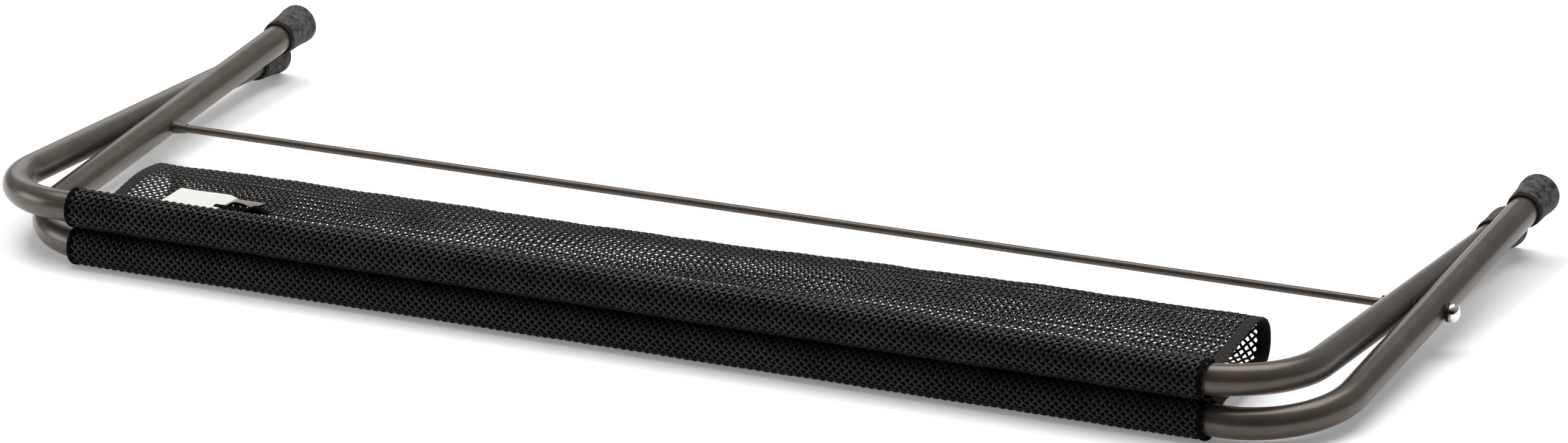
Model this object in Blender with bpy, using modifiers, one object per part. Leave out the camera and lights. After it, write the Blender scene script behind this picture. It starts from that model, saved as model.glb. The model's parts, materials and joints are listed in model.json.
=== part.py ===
"""Folding luggage rack: two U-shaped steel tube frames crossed on one long axle, with a mesh sling
sewn round both crossbars. Modelled folded flat, as it is put away. Metres, +Z up, +X along the
crossbars, +Y from the crossbars to the feet. Frame A has the upper crossbar and the lower feet.
Each frame is built in its own plane, round an empty on the axle's line, and then tilted."""

import bmesh
import bpy
from math import acos, asin, atan2, cos, hypot, pi, radians, sin, sqrt, tan
from mathutils import Matrix, Vector

# ---- Driving dimensions ----
GAP = 0.0003                # between pieces that rest on or against each other
RUN_CLEARANCE = 0.0001      # round the axle, in every hole it passes

TUBE_RADIUS = 0.011
TUBE_WALL = 0.0012
LEG_SPACING = 1.008         # between the two leg centrelines of one frame
CROSSBAR_REACH = 0.208      # from the axle to the crossbar's centreline
FOOT_REACH = 0.208          # from the axle to the end of the foot cap
BEND_RADIUS = 0.068         # of the tube's centreline at each corner

CAP_LENGTH = 0.035
CAP_FLOOR = 0.005
CAP_MOUTH_WALL = 0.0014     # round the tube, at the mouth
CAP_BODY_WALL = 0.0021      # behind the mouth's narrow ring
CAP_BASE_WALL = 0.0037      # where the cap flares out to its base
CAP_NECK = 0.0032           # length of the narrow ring
CAP_EDGE = 0.0015           # rounding at the base

AXLE_RADIUS = 0.003
AXLE_HEAD_WIDER = 0.0018    # the head's radius over the rod's
AXLE_HEAD_THICK = 0.0020
WASHER_RING = 0.0028        # width of a washer's ring, outside its bore
LEG_WASHER_THICK = 0.0010   # between the crossed legs
END_WASHER_THICK = 0.0010   # under the axle's head
SEAT_THICK = 0.0026         # black seat under the dome cap
SEAT_RING = 0.0035
DOME_WALL = 0.0039          # round the dome cap's bore
DOME_HEIGHT = 0.0060
DOME_RIM = 0.0012
DOME_BORE_DEPTH = 0.0036
COLLAR_LENGTH = 0.012       # tapered collar inside the left legs
COLLAR_WALL = 0.0017
COLLAR_TIP_WALL = 0.0006
CLIP_THICK = 0.0014         # push-on clip inside the right legs
CLIP_RING = 0.0022

SLEEVE_EASE = 0.0016        # room between a crossbar and the fabric round it
SLEEVE_WALL = 0.0014
SLING_PAST_BEND = 0.002     # how far the sling reaches into a crossbar's bends
SLING_THICK = 0.0012
BINDING_WIDTH = 0.010       # tape that edges the sling
BINDING_THICK = 0.0020
FOLD_TO_AXLE = 0.094        # from the axle to the back of the sling's slack fold
FOLD_RADIUS = 0.018
LABEL_SIZE = (0.078, 0.030, 0.0006)
LABEL_FROM_END = 0.055      # from the sling's left end to the label
LABEL_SETBACK = 0.012       # from the seam behind the sleeve to the label

TUBE_RINGS = 8              # bevel resolution: 2 * 8 + 4 = 20 sides
BEND_STEPS = 9
TURN_STEPS = 24

# ---- Sizes that follow ----
FRAME_OFFSET = 2 * TUBE_RADIUS + LEG_WASHER_THICK + 2 * GAP
SLEEVE_RADIUS = TUBE_RADIUS + SLEEVE_EASE + SLEEVE_WALL
SLING_WIDTH = LEG_SPACING - 2 * (BEND_RADIUS - SLING_PAST_BEND)
CAP_BORE_RADIUS = TUBE_RADIUS + GAP
CAP_BASE_RADIUS = CAP_BORE_RADIUS + CAP_BASE_WALL
BORE_RADIUS = AXLE_RADIUS + RUN_CLEARANCE
FOLD_ANGLE = 2 * asin((SLEEVE_RADIUS + GAP / 2) / CROSSBAR_REACH)


def tilt_of_frame_a():
    """Tilt at which frame B's sleeve and frame A's foot caps stand on the same floor."""
    level = CROSSBAR_REACH * sin(FOLD_ANGLE) - CAP_BASE_RADIUS
    slope = CROSSBAR_REACH * cos(FOLD_ANGLE) + FOOT_REACH
    return acos(-SLEEVE_RADIUS / hypot(level, slope)) - atan2(slope, level)


TILT_A = tilt_of_frame_a()
TILT_B = FOLD_ANGLE - TILT_A
AXLE_HEIGHT = CROSSBAR_REACH * sin(TILT_B) + SLEEVE_RADIUS
FRONT = CROSSBAR_REACH * cos(max(TILT_A, TILT_B)) + SLEEVE_RADIUS
BACK = FOOT_REACH * cos(TILT_A) + CAP_BASE_RADIUS * sin(TILT_A)
AXLE_Y = (FRONT - BACK) / 2
LEG_FACE = (LEG_SPACING + FRAME_OFFSET) / 2 + TUBE_RADIUS   # outer side of the outer legs
HEAD_END = LEG_FACE + END_WASHER_THICK + AXLE_HEAD_THICK + 2 * GAP
DOME_END = LEG_FACE + SEAT_THICK + DOME_HEIGHT + 2 * GAP
CENTRE_X = (HEAD_END - DOME_END) / 2
INNER_LEG_FACE = (LEG_SPACING - FRAME_OFFSET) / 2 - TUBE_RADIUS


# ---- Scene, materials and small helpers ----
def clear_scene():
    for item in list(bpy.data.objects):
        bpy.data.objects.remove(item, do_unlink=True)


def new_collection(name):
    collection = bpy.data.collections.new(name)
    bpy.context.scene.collection.children.link(collection)
    return collection


def make_material(name, colour, roughness, metallic):
    material = bpy.data.materials.new(name)
    material.use_nodes = True
    shader = material.node_tree.nodes["Principled BSDF"]
    shader.inputs["Base Color"].default_value = (*colour, 1.0)
    shader.inputs["Roughness"].default_value = roughness
    shader.inputs["Metallic"].default_value = metallic
    material.diffuse_color = (*colour, 1.0)
    return material


def add_object(name, data, parent, material, collection, smooth=True):
    item = bpy.data.objects.new(name, data)
    collection.objects.link(item)
    item.parent = parent
    data.materials.append(material)
    if smooth and item.type == "MESH":
        data.shade_smooth()
        data.set_sharp_from_angle(angle=radians(35))
    return item


def add_empty(name, location, tilt, collection):
    empty = bpy.data.objects.new(name, None)
    collection.objects.link(empty)
    empty.location = location
    empty.rotation_euler = (tilt, 0.0, 0.0)
    return empty


def swept_mesh(name, points, radius):
    """An open round tube along the points, as a mesh."""
    curve = bpy.data.curves.new(name + "_path", "CURVE")
    curve.dimensions = "3D"
    curve.bevel_depth = radius
    curve.bevel_resolution = TUBE_RINGS
    curve.use_fill_caps = False
    spline = curve.splines.new("POLY")
    spline.points.add(len(points) - 1)
    for target, (x, y) in zip(spline.points, points):
        target.co = (x, y, 0.0, 1.0)
    guide = bpy.data.objects.new(name + "_guide", curve)
    bpy.context.scene.collection.objects.link(guide)
    bpy.context.view_layer.update()
    depsgraph = bpy.context.evaluated_depsgraph_get()
    mesh = bpy.data.meshes.new_from_object(guide.evaluated_get(depsgraph))
    bpy.data.objects.remove(guide, do_unlink=True)
    mesh.name = name
    mesh.materials.clear()
    return mesh


def thicken(item, thickness, offset):
    solidify = item.modifiers.new("wall", "SOLIDIFY")
    solidify.thickness = thickness
    solidify.offset = offset
    solidify.use_even_offset = True
    return solidify


def turned(name, profile, parent, material, collection):
    """A turned piece: the profile (radius, height) goes up the bore and down the outer side."""
    mesh = bpy.data.meshes.new(name)
    points = [(radius, 0.0, height) for radius, height in profile]
    edges = [(i, i + 1) for i in range(len(points) - 1)]
    if profile[0][0] > 0.0:
        edges.append((len(points) - 1, 0))
    mesh.from_pydata(points, edges, [])
    item = add_object(name, mesh, parent, material, collection, smooth=False)
    screw = item.modifiers.new("turn", "SCREW")
    screw.steps = TURN_STEPS
    screw.render_steps = TURN_STEPS
    screw.use_merge_vertices = True
    screw.merge_threshold = 0.00001
    screw.use_smooth_shade = True
    return item


# ---- The tube frames ----
def corner_arc(side):
    """The centreline of one corner, from the leg to the crossbar on the left (side -1)."""
    centre_x = side * (LEG_SPACING / 2 - BEND_RADIUS)
    centre_y = BEND_RADIUS - CROSSBAR_REACH
    angles = [pi / 2 * step / BEND_STEPS for step in range(BEND_STEPS + 1)]
    arc = [(centre_x + side * BEND_RADIUS * cos(a), centre_y - BEND_RADIUS * sin(a)) for a in angles]
    return arc if side < 0 else arc[::-1]


def frame_centreline():
    tube_end = FOOT_REACH - CAP_FLOOR - GAP
    left = [(-LEG_SPACING / 2, tube_end), (-LEG_SPACING / 2, 0.0)]
    right = [(LEG_SPACING / 2, 0.0), (LEG_SPACING / 2, tube_end)]
    return left + corner_arc(-1) + corner_arc(1) + right


def tube_frame(name, pivot, cutter, material, collection):
    frame = add_object(name, swept_mesh(name, frame_centreline(), TUBE_RADIUS), pivot, material, collection)
    thicken(frame, TUBE_WALL, -1.0)
    bore = frame.modifiers.new("axle_holes", "BOOLEAN")
    bore.operation = "DIFFERENCE"
    bore.solver = "EXACT"
    bore.object = cutter
    return frame


def axle_hole_cutter(collection):
    """One long cylinder on the axle's line, which drills all four legs."""
    mesh = bpy.data.meshes.new("axle_hole_cutter")
    shape = bmesh.new()
    length = 2 * LEG_FACE + 0.02
    turn = Matrix.Rotation(pi / 2, 4, "Y")
    bmesh.ops.create_cone(shape, cap_ends=True, segments=TURN_STEPS, radius1=BORE_RADIUS,
                          radius2=BORE_RADIUS, depth=length, matrix=turn)
    shape.to_mesh(mesh)
    shape.free()
    cutter = bpy.data.objects.new("axle_hole_cutter", mesh)
    collection.objects.link(cutter)
    cutter.location = (CENTRE_X, AXLE_Y, AXLE_HEIGHT)
    cutter.hide_render = True
    cutter.display_type = "WIRE"
    return cutter


def foot_cap(name, side, pivot, material, collection):
    """A flared rubber ferrule pushed over the end of a leg."""
    mouth = CAP_BORE_RADIUS + CAP_MOUTH_WALL
    body = CAP_BORE_RADIUS + CAP_BODY_WALL
    lip = CAP_LENGTH - CAP_NECK
    profile = [(0.0, CAP_FLOOR), (CAP_BORE_RADIUS, CAP_FLOOR), (CAP_BORE_RADIUS, CAP_LENGTH),
               (mouth, CAP_LENGTH), (mouth, lip), (body, lip), (CAP_BASE_RADIUS, 3 * CAP_EDGE),
               (CAP_BASE_RADIUS, CAP_EDGE), (CAP_BASE_RADIUS - CAP_EDGE, 0.0), (0.0, 0.0)]
    cap = turned(name, profile, pivot, material, collection)
    cap.location = (side * LEG_SPACING / 2, FOOT_REACH, 0.0)
    cap.rotation_euler = (pi / 2, 0.0, 0.0)
    return cap


# ---- The axle and what is on it ----
def on_axle(item, x):
    """Lays a turned piece along the axle, its base at x and its top towards +X."""
    item.location = (x, AXLE_Y, AXLE_HEIGHT)
    item.rotation_euler = (0.0, pi / 2, 0.0)
    return item


def ring_profile(ring, thickness):
    radius = BORE_RADIUS + ring
    return [(BORE_RADIUS, 0.0), (BORE_RADIUS, thickness), (radius, thickness), (radius, 0.0)]


def axle_rod(material, collection):
    """A long rod with a formed head at its left end."""
    start = CENTRE_X - HEAD_END
    end = CENTRE_X + DOME_END - DOME_HEIGHT + DOME_BORE_DEPTH - GAP
    length = end - start
    head = AXLE_RADIUS + AXLE_HEAD_WIDER
    profile = [(0.0, length), (AXLE_RADIUS, length), (AXLE_RADIUS, AXLE_HEAD_THICK),
               (head, AXLE_HEAD_THICK), (head, AXLE_HEAD_THICK / 2),
               (head - AXLE_HEAD_THICK / 2, 0.0), (0.0, 0.0)]
    return on_axle(turned("axle_rod", profile, None, material, collection), start)


def dome_cap(material, collection):
    """A plated cap pushed on the axle's right end."""
    radius = BORE_RADIUS + DOME_WALL
    arc = [pi / 2 * step / 5 for step in range(6)]
    dome = [(radius * sin(a), DOME_RIM + (DOME_HEIGHT - DOME_RIM) * cos(a)) for a in arc]
    profile = [*dome, (radius, 0.0), (BORE_RADIUS, 0.0), (BORE_RADIUS, DOME_BORE_DEPTH),
               (0.0, DOME_BORE_DEPTH)]
    return on_axle(turned("axle_dome_cap", profile, None, material, collection),
                   CENTRE_X + DOME_END - DOME_HEIGHT)


def axle_rings(materials, collection):
    """Washers, the seat under the dome, and the collar and clip that keep the legs apart."""
    washer = ring_profile(WASHER_RING, LEG_WASHER_THICK)
    left = CENTRE_X - LEG_SPACING / 2
    right = CENTRE_X + LEG_SPACING / 2
    for name, x in (("leg_washer_left", left), ("leg_washer_right", right)):
        on_axle(turned(name, washer, None, materials["nylon"], collection), x - LEG_WASHER_THICK / 2)
    head_washer = ring_profile(WASHER_RING, END_WASHER_THICK)
    on_axle(turned("axle_head_washer", head_washer, None, materials["nylon"], collection),
            CENTRE_X - LEG_FACE - GAP - END_WASHER_THICK)
    seat = ring_profile(SEAT_RING, SEAT_THICK)
    on_axle(turned("dome_cap_seat", seat, None, materials["nylon"], collection), CENTRE_X + LEG_FACE + GAP)
    wide = BORE_RADIUS + COLLAR_WALL
    collar = [(BORE_RADIUS, 0.0), (BORE_RADIUS, COLLAR_LENGTH),
              (BORE_RADIUS + COLLAR_TIP_WALL, COLLAR_LENGTH), (wide, COLLAR_LENGTH / 3), (wide, 0.0)]
    on_axle(turned("axle_collar", collar, None, materials["steel"], collection),
            CENTRE_X - INNER_LEG_FACE + GAP)
    clip = ring_profile(CLIP_RING, CLIP_THICK)
    on_axle(turned("axle_clip", clip, None, materials["steel"], collection),
            CENTRE_X + INNER_LEG_FACE - GAP - CLIP_THICK)


# ---- The sling ----
def crossbar_y(x):
    """Where the crossbar's centreline runs at x, its bends included."""
    past = max(0.0, abs(x) - (LEG_SPACING / 2 - BEND_RADIUS))
    return BEND_RADIUS - CROSSBAR_REACH - sqrt(BEND_RADIUS ** 2 - past ** 2)


def sling_sleeve(name, shift, pivot, material, collection):
    """The part of the sling that goes round a crossbar, and a little way into its bend."""
    half = SLING_WIDTH / 2
    straight = LEG_SPACING / 2 - BEND_RADIUS
    stops = [-half + shift, half + shift, -straight, straight]
    stops += [side * (straight + step * 0.004) for side in (-1, 1) for step in (1, 2, 3, 4)]
    stops = sorted(x for x in stops if -half + shift <= x <= half + shift)
    points = [(x, crossbar_y(x)) for x in stops]
    sleeve = add_object(name, swept_mesh(name, points, SLEEVE_RADIUS), pivot, material, collection)
    thicken(sleeve, SLEEVE_WALL, -1.0)
    return sleeve


def fold_section(side, thickness):
    """Half of the slack fold, seen from the end: from straight behind the crossbar it rises to a ridge
    as high as the sleeve, and then goes round to the middle."""
    start = crossbar_y((SLING_WIDTH + FRAME_OFFSET) / 2) + SLEEVE_RADIUS + GAP + thickness / 4
    centre_y = -FOLD_TO_AXLE - FOLD_RADIUS
    centre_z = SLEEVE_RADIUS - SLING_THICK / 2 - FOLD_RADIUS
    middle = FOLD_TO_AXLE * tan(FOLD_ANGLE / 2) - GAP / 2
    ridge = atan2(-centre_z, start - centre_y) - acos(FOLD_RADIUS / hypot(start - centre_y, centre_z))
    arc = [ridge * (1 - step / BEND_STEPS) for step in range(BEND_STEPS + 1)]
    section = [(start, 0.0)]
    section += [(centre_y + FOLD_RADIUS * cos(a), centre_z + FOLD_RADIUS * sin(a)) for a in arc]
    section.append((-FOLD_TO_AXLE, -middle))
    return [(y, side * z) for y, z in section]


def fold_half(name, side, x_from, x_to, thickness, pivot, material, collection):
    """A stretch of half the fold: an open sheet, thickened both ways from its middle."""
    section = fold_section(side, thickness)
    shape = bmesh.new()
    rows = [[shape.verts.new((x, y, z)) for y, z in section] for x in (x_from, x_to)]
    for i in range(len(section) - 1):
        shape.faces.new((rows[0][i], rows[1][i], rows[1][i + 1], rows[0][i + 1]))
    mesh = bpy.data.meshes.new(name)
    shape.to_mesh(mesh)
    shape.free()
    sheet = add_object(name, mesh, pivot, material, collection)
    thicken(sheet, thickness, 0.0)
    return sheet


def sling(pivots, materials, collection):
    half = SLING_WIDTH / 2
    inner = half - BINDING_WIDTH - GAP
    for letter, part, side in (("a", "upper", 1), ("b", "lower", -1)):
        pivot = pivots[letter]
        shift = side * FRAME_OFFSET / 2
        sling_sleeve(f"sling_sleeve_{letter}", shift, pivot, materials["mesh"], collection)
        fold_half(f"sling_fold_{part}", side, shift - inner, shift + inner, SLING_THICK, pivot,
                  materials["mesh"], collection)
        for end, sign in (("left", -1), ("right", 1)):
            edges = sorted((shift + sign * half, shift + sign * (half - BINDING_WIDTH)))
            fold_half(f"edge_tape_{part}_{end}", side, *edges, BINDING_THICK, pivot,
                      materials["tape"], collection)


def label(pivot, material, collection):
    """A plain cloth label sewn on the sling behind the upper sleeve."""
    length, depth, thickness = LABEL_SIZE
    shape = bmesh.new()
    bmesh.ops.create_cube(shape, size=1.0)
    bmesh.ops.scale(shape, vec=Vector(LABEL_SIZE), verts=shape.verts)
    mesh = bpy.data.meshes.new("label")
    shape.to_mesh(mesh)
    shape.free()
    item = add_object("label", mesh, pivot, material, collection, smooth=False)
    (start_y, start_z), (ridge_y, ridge_z) = fold_section(1, SLING_THICK)[:2]
    slope = atan2(ridge_z - start_z, ridge_y - start_y)
    along = LABEL_SETBACK + depth / 2
    above = SLING_THICK / 2 + GAP + thickness / 2
    x = FRAME_OFFSET / 2 - SLING_WIDTH / 2 + LABEL_FROM_END + length / 2
    item.location = (x, start_y + along * cos(slope) - above * sin(slope),
                     start_z + along * sin(slope) + above * cos(slope))
    item.rotation_euler = (slope, 0.0, 0.0)
    return item


def main():
    clear_scene()
    parts = new_collection("folding_luggage_rack")
    cutters = new_collection("cutters")
    materials = {
        "tube": make_material("powder_coated_steel", (0.105, 0.100, 0.095), 0.38, 0.75),
        "rubber": make_material("foot_rubber", (0.060, 0.060, 0.062), 0.80, 0.0),
        "steel": make_material("axle_steel", (0.170, 0.160, 0.150), 0.40, 0.90),
        "chrome": make_material("chrome_plate", (0.80, 0.79, 0.77), 0.08, 1.0),
        "nylon": make_material("black_nylon", (0.020, 0.020, 0.020), 0.50, 0.0),
        "mesh": make_material("coated_mesh", (0.022, 0.022, 0.022), 0.50, 0.0),
        "tape": make_material("edge_tape", (0.045, 0.045, 0.045), 0.70, 0.0),
        "label": make_material("label_cloth", (0.86, 0.85, 0.83), 0.80, 0.0),
    }
    pivots = {
        "a": add_empty("frame_a_pivot", (CENTRE_X - FRAME_OFFSET / 2, AXLE_Y, AXLE_HEIGHT), -TILT_A, parts),
        "b": add_empty("frame_b_pivot", (CENTRE_X + FRAME_OFFSET / 2, AXLE_Y, AXLE_HEIGHT), TILT_B, parts),
    }
    cutter = axle_hole_cutter(cutters)
    for letter, pivot in pivots.items():
        tube_frame(f"frame_{letter}_tube", pivot, cutter, materials["tube"], parts)
        for end, side in (("left", -1), ("right", 1)):
            foot_cap(f"foot_cap_{letter}_{end}", side, pivot, materials["rubber"], parts)
    axle_rod(materials["steel"], parts)
    dome_cap(materials["chrome"], parts)
    axle_rings(materials, parts)
    sling(pivots, materials, parts)
    label(pivots["a"], materials["label"], parts)


main()
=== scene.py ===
# %% [markdown]
# # A folding luggage rack
# Two U-shaped steel tubes cross on one long rod, and a slack sling of coated mesh is sewn round both
# crossbars. The rack lies folded on the floor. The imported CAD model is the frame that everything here
# is built round: it says where each piece is, and this script gives the pieces their fine shape and
# their finish.

import json
from math import cos, pi, radians, sin

import bmesh
import bpy
import numpy as np
from mathutils import Matrix, Vector


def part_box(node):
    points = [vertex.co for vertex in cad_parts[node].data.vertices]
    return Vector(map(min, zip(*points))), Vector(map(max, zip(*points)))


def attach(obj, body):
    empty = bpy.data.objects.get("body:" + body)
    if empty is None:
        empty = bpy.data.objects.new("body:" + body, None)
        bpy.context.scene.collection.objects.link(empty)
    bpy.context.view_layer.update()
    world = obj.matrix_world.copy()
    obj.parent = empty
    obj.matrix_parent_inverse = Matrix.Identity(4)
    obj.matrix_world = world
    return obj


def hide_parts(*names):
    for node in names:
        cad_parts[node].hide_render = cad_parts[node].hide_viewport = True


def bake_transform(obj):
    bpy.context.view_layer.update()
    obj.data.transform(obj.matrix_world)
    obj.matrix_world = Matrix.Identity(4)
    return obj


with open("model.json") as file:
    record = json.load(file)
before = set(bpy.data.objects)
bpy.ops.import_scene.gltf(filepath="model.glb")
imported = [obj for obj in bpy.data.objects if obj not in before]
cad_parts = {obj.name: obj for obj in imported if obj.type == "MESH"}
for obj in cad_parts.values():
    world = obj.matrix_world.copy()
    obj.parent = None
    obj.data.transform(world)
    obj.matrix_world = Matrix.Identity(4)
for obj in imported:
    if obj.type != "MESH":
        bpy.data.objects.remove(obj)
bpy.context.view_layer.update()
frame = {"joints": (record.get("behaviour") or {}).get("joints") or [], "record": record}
MM = 0.001

# %% [markdown]
# The camera looks along the rack from its front right, a little from above, with a long lens, so that
# the two ends look nearly the same size. It comes first because every finish is judged through it.

# %% Camera
CAMERA_AZIMUTH = radians(27.035)
CAMERA_ELEVATION = radians(20.327)
CAMERA_ROLL = radians(-1.738)
CAMERA_DISTANCE = 5.0438
CAMERA_TARGET = Vector((0.0, 0.0, 0.030))
CAMERA_SIDEWAYS = 0.02143
CAMERA_UPWARDS = -0.0061
LENS_MM = 163.08


def make_camera():
    forward = Vector((-sin(CAMERA_AZIMUTH) * cos(CAMERA_ELEVATION),
                      cos(CAMERA_AZIMUTH) * cos(CAMERA_ELEVATION), -sin(CAMERA_ELEVATION)))
    right = Vector((cos(CAMERA_AZIMUTH), sin(CAMERA_AZIMUTH), 0.0))
    up = right.cross(forward)
    tilted_right = cos(CAMERA_ROLL) * right + sin(CAMERA_ROLL) * up
    tilted_up = cos(CAMERA_ROLL) * up - sin(CAMERA_ROLL) * right
    place = Matrix((tilted_right, tilted_up, -forward)).transposed().to_4x4()
    place.translation = (CAMERA_TARGET + CAMERA_SIDEWAYS * tilted_right
                         + CAMERA_UPWARDS * tilted_up - CAMERA_DISTANCE * forward)
    data = bpy.data.cameras.new("camera")
    data.lens = LENS_MM
    data.sensor_width = 36.0
    camera = bpy.data.objects.new("camera", data)
    camera.matrix_world = place
    bpy.context.scene.collection.objects.link(camera)
    bpy.context.scene.camera = camera
    return camera


make_camera()
print("camera at", [round(x, 3) for x in bpy.context.scene.camera.matrix_world.translation])

# %% [markdown]
# Every material and every Geometry Nodes tree below is put together from nodes. One helper adds a node,
# sets its options and fills its sockets, either with a value or with a link from another node's output.
# A second turns the hex colours that people read off a colour card into the linear numbers that Blender
# computes with.

# %% Helpers for nodes and colours
def add(tree, kind, sockets=None, **settings):
    """Adds a node; sockets is {name or number: value or output socket}."""
    node = tree.nodes.new(kind)
    for name, value in settings.items():
        setattr(node, name, value)
    for key, value in (sockets or {}).items():
        if isinstance(value, bpy.types.NodeSocket):
            tree.links.new(value, node.inputs[key])
        else:
            node.inputs[key].default_value = value
    return node


def linear(hex_colour):
    """An sRGB hex colour, such as #8090a0, as linear RGBA."""
    parts = [int(hex_colour[i:i + 2], 16) / 255 for i in (1, 3, 5)]
    return (*[c / 12.92 if c <= 0.04045 else ((c + 0.055) / 1.055) ** 2.4 for c in parts], 1.0)


def new_material(name, **sockets):
    """A material with one Principled BSDF; sockets are its inputs that are the same all over."""
    material = bpy.data.materials.new(name)
    material.use_nodes = True
    shader = material.node_tree.nodes["Principled BSDF"]
    for key, value in sockets.items():
        shader.inputs[key.replace("_", " ")].default_value = value
    return material, material.node_tree, shader


# %% [markdown]
# ## Finishes
# The tube is mild steel with a satin gunmetal powder coat: a dark grey paint full of fine metal flake.
# So it is half a paint, which answers to all the light in the room, and half a metal, which only shows
# what it mirrors. The paint's clear skin adds the bright rim where a tube turns away from the eye.
# Handling has polished it unevenly, in patches, and baking has left a fine orange peel.

# %% Powder coat and bare metal
def metal_finish(name, dark, light, metallic, roughness, patch_mm, peel_mm, peel_depth_mm):
    """A metal or a metallic paint: two close shades in patches, uneven gloss, and a fine relief."""
    material, tree, shader = new_material(name, Metallic=metallic)
    spot = add(tree, "ShaderNodeTexCoord").outputs["Object"]
    patches = add(tree, "ShaderNodeTexNoise", {"Vector": spot, "Scale": 1 / (patch_mm * MM),
                                               "Detail": 6.0, "Roughness": 0.7}).outputs["Fac"]
    shade = add(tree, "ShaderNodeValToRGB", {"Fac": patches})
    shade.color_ramp.elements[0].position = 0.30
    shade.color_ramp.elements[0].color = linear(dark)
    shade.color_ramp.elements[1].position = 0.72
    shade.color_ramp.elements[1].color = linear(light)
    gloss = add(tree, "ShaderNodeMapRange", {"Value": patches, "To Min": roughness - 0.05,
                                             "To Max": roughness + 0.06})
    grain = add(tree, "ShaderNodeTexNoise", {"Vector": spot, "Scale": 1 / (peel_mm * MM), "Detail": 2.0})
    relief = add(tree, "ShaderNodeBump", {"Height": grain.outputs["Fac"], "Strength": 0.6,
                                          "Distance": peel_depth_mm * MM})
    tree.links.new(shade.outputs["Color"], shader.inputs["Base Color"])
    tree.links.new(gloss.outputs["Result"], shader.inputs["Roughness"])
    tree.links.new(relief.outputs["Normal"], shader.inputs["Normal"])
    return material


# Powder coat peels at about 1.5 mm. The rod is drawn steel with the same paint, a little darker. The
# dome is brass, polished and chrome plated, so it mirrors nearly all the light that falls on it.
POWDER_COAT = metal_finish("powder_coated_steel", "#4c4740", "#63584f", 0.45, 0.29, 40, 1.5, 0.03)
LACQUERED_ROD = metal_finish("painted_steel_rod", "#47413c", "#5a5048", 0.45, 0.34, 30, 1.0, 0.01)
CHROME = metal_finish("chrome_plated_brass", "#d6d1ca", "#efeae4", 1.0, 0.12, 6, 0.8, 0.004)
print("metals:", POWDER_COAT.name, LACQUERED_ROD.name, CHROME.name)

# %% [markdown]
# The feet are moulded black rubber ferrules. Rubber this old has bloomed: a grey chalk sits on it in
# blotches. The ring at each mouth is kept black without chalk, as painted shade of the gap where the
# tube enters. The nylon washers and the dome's seat are plain moulded plastic with a faint mould texture.

# %% Rubber and nylon
def moulded(name, deep, worn, roughness, blotch_mm, grain_mm, grain_depth_mm, spread=(0.38, 0.62)):
    """A moulded plastic or rubber: deep shows through the worn shade in blotches."""
    material, tree, shader = new_material(name, Specular_IOR_Level=0.25)
    spot = add(tree, "ShaderNodeTexCoord").outputs["Object"]
    blotches = add(tree, "ShaderNodeTexNoise", {"Vector": spot, "Scale": 1 / (blotch_mm * MM),
                                                "Detail": 6.0, "Roughness": 0.65}).outputs["Fac"]
    shade = add(tree, "ShaderNodeValToRGB", {"Fac": blotches})
    shade.color_ramp.elements[0].position, shade.color_ramp.elements[1].position = spread
    shade.color_ramp.elements[0].color = linear(deep)
    shade.color_ramp.elements[1].color = linear(worn)
    gloss = add(tree, "ShaderNodeMapRange", {"Value": blotches, "From Min": spread[0],
                                             "From Max": spread[1], "To Min": roughness - 0.1,
                                             "To Max": roughness + 0.1})
    grain = add(tree, "ShaderNodeTexNoise", {"Vector": spot, "Scale": 1 / (grain_mm * MM), "Detail": 3.0})
    relief = add(tree, "ShaderNodeBump", {"Height": grain.outputs["Fac"], "Strength": 0.6,
                                          "Distance": grain_depth_mm * MM})
    tree.links.new(shade.outputs["Color"], shader.inputs["Base Color"])
    tree.links.new(gloss.outputs["Result"], shader.inputs["Roughness"])
    tree.links.new(relief.outputs["Normal"], shader.inputs["Normal"])
    return material


FERRULE_RUBBER = moulded("bloomed_ferrule_rubber", "#1d1d1d", "#5f5c5a", 0.75, 5, 0.7, 0.08)
# The mouth rings: black rubber without chalk, painted shade of the gap where the tube enters.
MOUTH_SHADE_RUBBER = moulded("black_rubber_with_painted_shade", "#101010", "#1a1a1a", 0.80, 4, 0.7, 0.05)
BLACK_NYLON = moulded("moulded_black_nylon", "#101010", "#1d1d1d", 0.50, 6, 0.6, 0.02)
print("mouldings:", FERRULE_RUBBER.name, MOUTH_SHADE_RUBBER.name, BLACK_NYLON.name)

# %% [markdown]
# The sling is polyester yarn coated with black PVC, woven open. The coating gives each yarn a low,
# greasy gloss, and dust lightens it in places. The binding tape, the plain black cloth and the label
# are uncoated and matt. The plain black is also painted shade, under the sleeves and under the label,
# and the label's end is darkened to grey beige as painted shade. The weave of the sling itself is
# modelled; only the threads inside a tape or a label are drawn by the material, with a wave at the
# thread's spacing in both directions.

# %% Cloth finishes
def yarn_finish(name, dark, light, roughness, dust_mm, gloss_level=0.18):
    """A coated yarn: nearly black, with dust in patches and a low gloss."""
    material, tree, shader = new_material(name, Specular_IOR_Level=gloss_level)
    spot = add(tree, "ShaderNodeTexCoord").outputs["Object"]
    dust = add(tree, "ShaderNodeTexNoise", {"Vector": spot, "Scale": 1 / (dust_mm * MM), "Detail": 5.0,
                                            "Roughness": 0.6}).outputs["Fac"]
    shade = add(tree, "ShaderNodeValToRGB", {"Fac": dust})
    shade.color_ramp.elements[0].position = 0.35
    shade.color_ramp.elements[0].color = linear(dark)
    shade.color_ramp.elements[1].position = 0.70
    shade.color_ramp.elements[1].color = linear(light)
    gloss = add(tree, "ShaderNodeMapRange", {"Value": dust, "To Min": roughness - 0.05,
                                             "To Max": roughness + 0.12})
    tree.links.new(shade.outputs["Color"], shader.inputs["Base Color"])
    tree.links.new(gloss.outputs["Result"], shader.inputs["Roughness"])
    return material


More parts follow.
